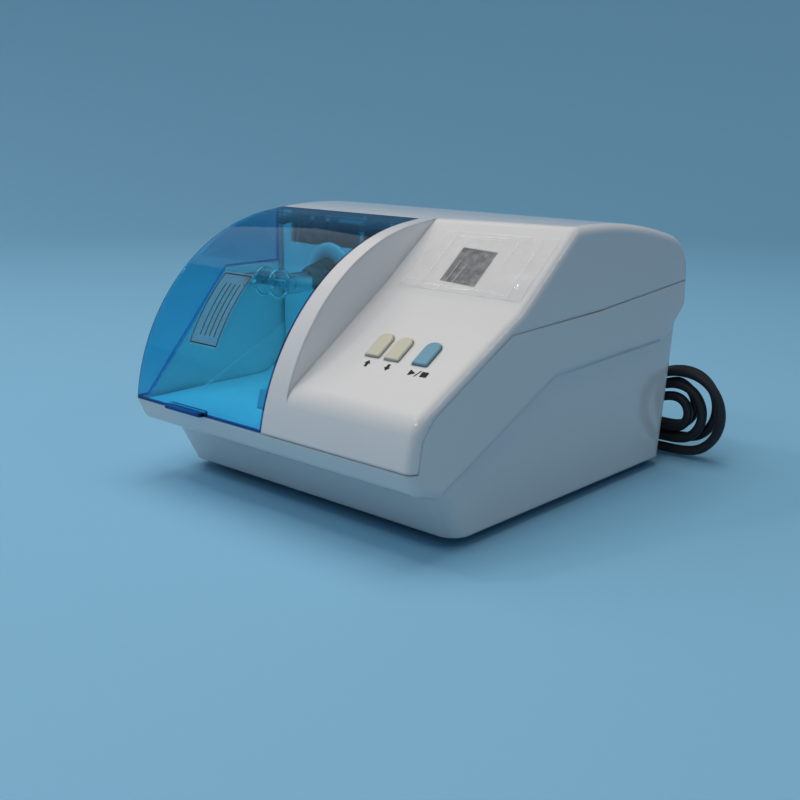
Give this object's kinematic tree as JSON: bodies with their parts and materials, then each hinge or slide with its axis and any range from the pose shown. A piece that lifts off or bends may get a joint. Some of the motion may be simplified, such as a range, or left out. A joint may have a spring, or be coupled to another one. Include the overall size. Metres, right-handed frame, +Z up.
{
  "type": "dental amalgamator",
  "caption": "Bench-top dental capsule mixer with a hinged transparent lid over the mixing fork, a sloping panel with display and keys, and a mains cord folded in a hank.",
  "frame": {"origin": "on the bench, under the middle of the machine without its cord", "axes": "+X to the operator's right, +Y to the back, +Z up"},
  "size_m": [0.2434, 0.3112, 0.1544],
  "materials": {
    "white_casing": "glossy white ABS",
    "blue_lid": "transparent blue acrylic",
    "beige_key": "satin beige",
    "blue_key": "satin blue",
    "label_film": "pale printed film",
    "clear_film": "clear film",
    "smoked_window": "smoked display window",
    "dark_plastic": "moulded black",
    "liner_grey": "moulded pale grey",
    "steel": "bright zinc plated",
    "bright_steel": "polished",
    "black_rubber": "moulded rubber",
    "circuit_board": "green solder mask",
    "brass": "turned",
    "winding": "varnished",
    "aluminium": "turned"
  },
  "bodies": {
    "root": {"arm_boot": "black_rubber", "base_plate": "steel", "base_screws": "steel", "board_screws": "steel", "board_standoffs": "brass", "chamber_liner": "liner_grey", "control_board": "circuit_board", "cord_gland": "black_rubber", "cord_hank": "black_rubber", "cradle_screws": "steel", "display_film": "clear_film", "display_module": "dark_plastic", "display_window": "smoked_window", "foot_screws": "steel", "fuse_cap": "dark_plastic", "fuse_holder": "dark_plastic", "hank_tie": "dark_plastic", "hinge_bracket": "steel", "hinge_pin": "bright_steel", "lower_housing": "white_casing", "mains_cord": "black_rubber", "mains_plug": "dark_plastic", "motor_can": "steel", "motor_capacitor": "dark_plastic", "motor_cradle": "steel", "motor_dampers": "black_rubber", "motor_end_bell": "dark_plastic", "motor_magnets": "dark_plastic", "plug_lead": "black_rubber", "power_board": "circuit_board", "power_switch_body": "dark_plastic", "reed_switch": "dark_plastic", "rubber_foot_1": "black_rubber", "rubber_foot_2": "black_rubber", "rubber_foot_3": "black_rubber", "rubber_foot_4": "black_rubber", "tact_switch_down": "dark_plastic", "tact_switch_start": "dark_plastic", "tact_switch_up": "dark_plastic", "top_cover": "white_casing", "transformer": "winding"},
    "lid": {"lid": "blue_lid", "lid_label": "label_film", "lid_hinge_arm_left": "dark_plastic", "lid_hinge_arm_right": "dark_plastic", "lid_magnet": "steel"},
    "up_key": {"button_up": "beige_key"},
    "down_key": {"button_down": "beige_key"},
    "start_key": {"button_start": "blue_key"},
    "rotor": {"motor_shaft": "bright_steel", "motor_rotor": "winding", "wobble_sleeve": "brass", "wobble_bearing": "bright_steel"},
    "mixing_arm": {"mixer_arm": "aluminium", "capsule_fork": "aluminium", "capsule_clips": "bright_steel"},
    "rocker": {"power_rocker": "dark_plastic"}
  },
  "joints": [
    {"name": "lid_hinge", "type": "hinge", "parent": "root", "child": "lid", "pos_m": [0, 0.002, 0.146], "axis": [-1, 0, 0], "range_deg": [0, 90]},
    {"name": "up_press", "type": "slide", "parent": "root", "child": "up_key", "axis": [-0.0381, 0.5226, -0.8517], "range_m": [0, 0.0005], "stiffness_N_per_m": 400},
    {"name": "down_press", "type": "slide", "parent": "root", "child": "down_key", "axis": [-0.0383, 0.51, -0.8593], "range_m": [0, 0.0005], "stiffness_N_per_m": 400},
    {"name": "start_press", "type": "slide", "parent": "root", "child": "start_key", "axis": [-0.0393, 0.4933, -0.869], "range_m": [0, 0.0005], "stiffness_N_per_m": 400},
    {"name": "motor_spin", "type": "hinge", "parent": "root", "child": "rotor", "pos_m": [-0.061, 0.007, 0.114], "axis": [0, 1, 0], "continuous": true},
    {"name": "arm_swing", "type": "hinge", "parent": "root", "child": "mixing_arm", "pos_m": [-0.061, 0.007, 0.114], "axis": [0, 0, 1], "range_deg": [-6, 6]},
    {"name": "power_rock", "type": "hinge", "parent": "root", "child": "rocker", "pos_m": [0.02, 0.114, 0.04633], "axis": [-1, 0, 0], "range_deg": [0, 12]}
  ]
}
